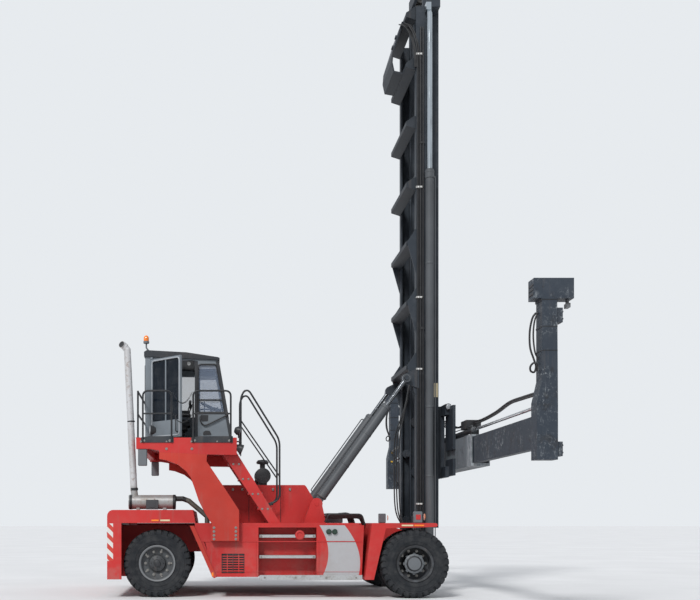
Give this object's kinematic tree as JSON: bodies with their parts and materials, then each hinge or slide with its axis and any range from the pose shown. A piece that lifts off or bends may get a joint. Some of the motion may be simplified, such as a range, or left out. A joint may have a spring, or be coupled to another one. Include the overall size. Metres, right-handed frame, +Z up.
{
  "type": "empty container handler lift truck",
  "caption": "Counterbalanced lift truck with a tall two-stage mast, a telescopic side-lift spreader and a raised cab, for stacking empty containers.",
  "frame": {"origin": "on the ground, at the middle of the whole truck's length and width", "axes": "+X to the truck's front and mast, +Y to its left, +Z up"},
  "size_m": [6.96, 12.2, 11.95],
  "materials": {
    "red_paint": "worn red machine paint, dull",
    "arch_paint": "lighter orange red paint",
    "mast_paint": "charcoal paint, dusty",
    "spreader_paint": "scuffed dark blue grey paint",
    "tube_paint": "scuffed grey paint",
    "cab_paint": "light grey paint",
    "roof_paint": "dark grey paint",
    "rail_paint": "black paint",
    "engine_paint": "dark casting",
    "axle_paint": "dark casting, oily",
    "galvanised": "galvanised treads",
    "tyre_rubber": "worn black rubber",
    "drive_rim_paint": "dark rim",
    "steer_rim_paint": "silver grey rim",
    "chrome_rod": "hard chrome",
    "pipe_steel": "black pipes and hoses",
    "chain_steel": "greased leaf chain",
    "muffler_steel": "heat stained sheet steel",
    "air_cleaner_plastic": "black plastic",
    "tinted_glass": "dark tinted glass",
    "seat_cloth": "dark seat cloth",
    "console_plastic": "dark plastic",
    "lamp_plastic": "grey lamp housings"
  },
  "bodies": {
    "chassis": {"chassis_frame": "red_paint", "engine_block": "engine_paint", "side_cabinets": "red_paint", "access_steps": "galvanised", "counterweight": "red_paint", "rear_deck": "red_paint", "front_fenders": "red_paint", "engine_hood": "red_paint", "pedestal_arches": "arch_paint", "cab_platform": "red_paint", "cab_stair": "red_paint", "platform_rails": "rail_paint", "rear_rail": "rail_paint", "stair_rails": "rail_paint", "cab_shell": "cab_paint", "cab_roof": "roof_paint", "cab_glass": "tinted_glass", "operator_seat": "seat_cloth", "cab_console": "console_plastic", "exhaust": "muffler_steel", "air_cleaner": "air_cleaner_plastic", "drive_axle": "axle_paint", "steer_axle": "axle_paint", "body_lamps": "lamp_plastic"},
    "door": {"cab_door": "cab_paint", "door_glass": "tinted_glass"},
    "drive_wheel_right": {"drive_tyres_right": "tyre_rubber", "drive_rims_right": "drive_rim_paint"},
    "drive_wheel_left": {"drive_tyres_left": "tyre_rubber", "drive_rims_left": "drive_rim_paint"},
    "knuckle_right": {"knuckle_right": "axle_paint"},
    "knuckle_left": {"knuckle_left": "axle_paint"},
    "steer_wheel_right": {"steer_tyre_right": "tyre_rubber", "steer_rim_right": "steer_rim_paint"},
    "steer_wheel_left": {"steer_tyre_left": "tyre_rubber", "steer_rim_left": "steer_rim_paint"},
    "tilt_barrels": {"tilt_barrels": "mast_paint"},
    "tilt_rods": {"tilt_rods": "chrome_rod"},
    "outer_mast": {"mast_rails": "mast_paint", "mast_cross_members": "mast_paint", "hose_guard": "mast_paint", "lift_barrels": "mast_paint", "mast_pipes": "pipe_steel"},
    "inner_mast": {"inner_rails": "mast_paint", "inner_cross_members": "mast_paint", "lift_rods": "chrome_rod", "lift_chains": "chain_steel"},
    "carriage": {"carriage": "mast_paint"},
    "spreader": {"spreader_tube": "tube_paint", "spread_cylinders": "spreader_paint"},
    "arm_right": {"arm_right": "spreader_paint"},
    "arm_left": {"arm_left": "spreader_paint"},
    "lock_right": {"locks_right": "chrome_rod"},
    "lock_left": {"locks_left": "chrome_rod"}
  },
  "joints": [
    {"name": "drive_spin_right", "type": "hinge", "parent": "chassis", "child": "drive_wheel_right", "pos_m": [2.12, -1.65, 0.613], "axis": [0, 1, 0], "continuous": true},
    {"name": "drive_spin_left", "type": "hinge", "parent": "chassis", "child": "drive_wheel_left", "pos_m": [2.12, 1.65, 0.613], "axis": [0, 1, 0], "continuous": true},
    {"name": "steer_right", "type": "hinge", "parent": "chassis", "child": "knuckle_right", "pos_m": [-2.48, -1.34, 0.613], "axis": [0, 0, 1], "range_deg": [-60, 60]},
    {"name": "steer_left", "type": "hinge", "parent": "chassis", "child": "knuckle_left", "pos_m": [-2.48, 1.34, 0.613], "axis": [0, 0, 1], "range_deg": [-60, 60]},
    {"name": "steer_spin_right", "type": "hinge", "parent": "knuckle_right", "child": "steer_wheel_right", "pos_m": [-2.48, -1.59, 0.613], "axis": [0, 1, 0], "continuous": true},
    {"name": "steer_spin_left", "type": "hinge", "parent": "knuckle_left", "child": "steer_wheel_left", "pos_m": [-2.48, 1.59, 0.613], "axis": [0, 1, 0], "continuous": true},
    {"name": "cab_door", "type": "hinge", "parent": "chassis", "child": "door", "pos_m": [-2.633, -0.828, 3.6], "axis": [0, 0, 1], "range_deg": [-45, 45]},
    {"name": "mast_tilt", "type": "hinge", "parent": "chassis", "child": "outer_mast", "pos_m": [2.17, 0, 0.95], "axis": [0, 1, 0], "range_deg": [-6, 3]},
    {"name": "tilt_barrel_swing", "type": "hinge", "parent": "chassis", "child": "tilt_barrels", "pos_m": [0.466, 0, 1.7], "axis": [0, 1, 0], "range_deg": [-5.3, 2.65]},
    {"name": "tilt_rod_slide", "type": "slide", "parent": "tilt_barrels", "child": "tilt_rods", "axis": [0.5827, 0, 0.8127], "range_m": [-0.193, 0.0965]},
    {"name": "mast_lift", "type": "slide", "parent": "outer_mast", "child": "inner_mast", "axis": [0, 0, 1], "range_m": [-1, 6.4]},
    {"name": "carriage_lift", "type": "slide", "parent": "inner_mast", "child": "carriage", "axis": [0, 0, 1], "range_m": [-1, 6.4]},
    {"name": "side_shift", "type": "slide", "parent": "carriage", "child": "spreader", "axis": [0, 1, 0], "range_m": [-0.6, 0.6]},
    {"name": "spread_left", "type": "slide", "parent": "spreader", "child": "arm_left", "axis": [0, 1, 0], "range_m": [-3.06, 0]},
    {"name": "spread_right", "type": "slide", "parent": "spreader", "child": "arm_right", "axis": [0, -1, 0], "range_m": [-3.06, 0]},
    {"name": "lock_turn_right", "type": "hinge", "parent": "arm_right", "child": "lock_right", "pos_m": [3.43, -5.975, 4.5], "axis": [0, 0, 1], "range_deg": [0, 90]},
    {"name": "lock_turn_left", "type": "hinge", "parent": "arm_left", "child": "lock_left", "pos_m": [3.43, 5.975, 4.5], "axis": [0, 0, 1], "range_deg": [0, 90]}
  ],
  "couplings": [
    {"joint": "steer_left", "follows": "steer_right", "ratio": 1},
    {"joint": "tilt_barrel_swing", "follows": "mast_tilt", "ratio": 0.88},
    {"joint": "tilt_rod_slide", "follows": "mast_tilt", "m_per_rad": 1.838},
    {"joint": "carriage_lift", "follows": "mast_lift", "ratio": 1},
    {"joint": "spread_right", "follows": "spread_left", "ratio": 1},
    {"joint": "lock_turn_left", "follows": "lock_turn_right", "ratio": 1}
  ]
}
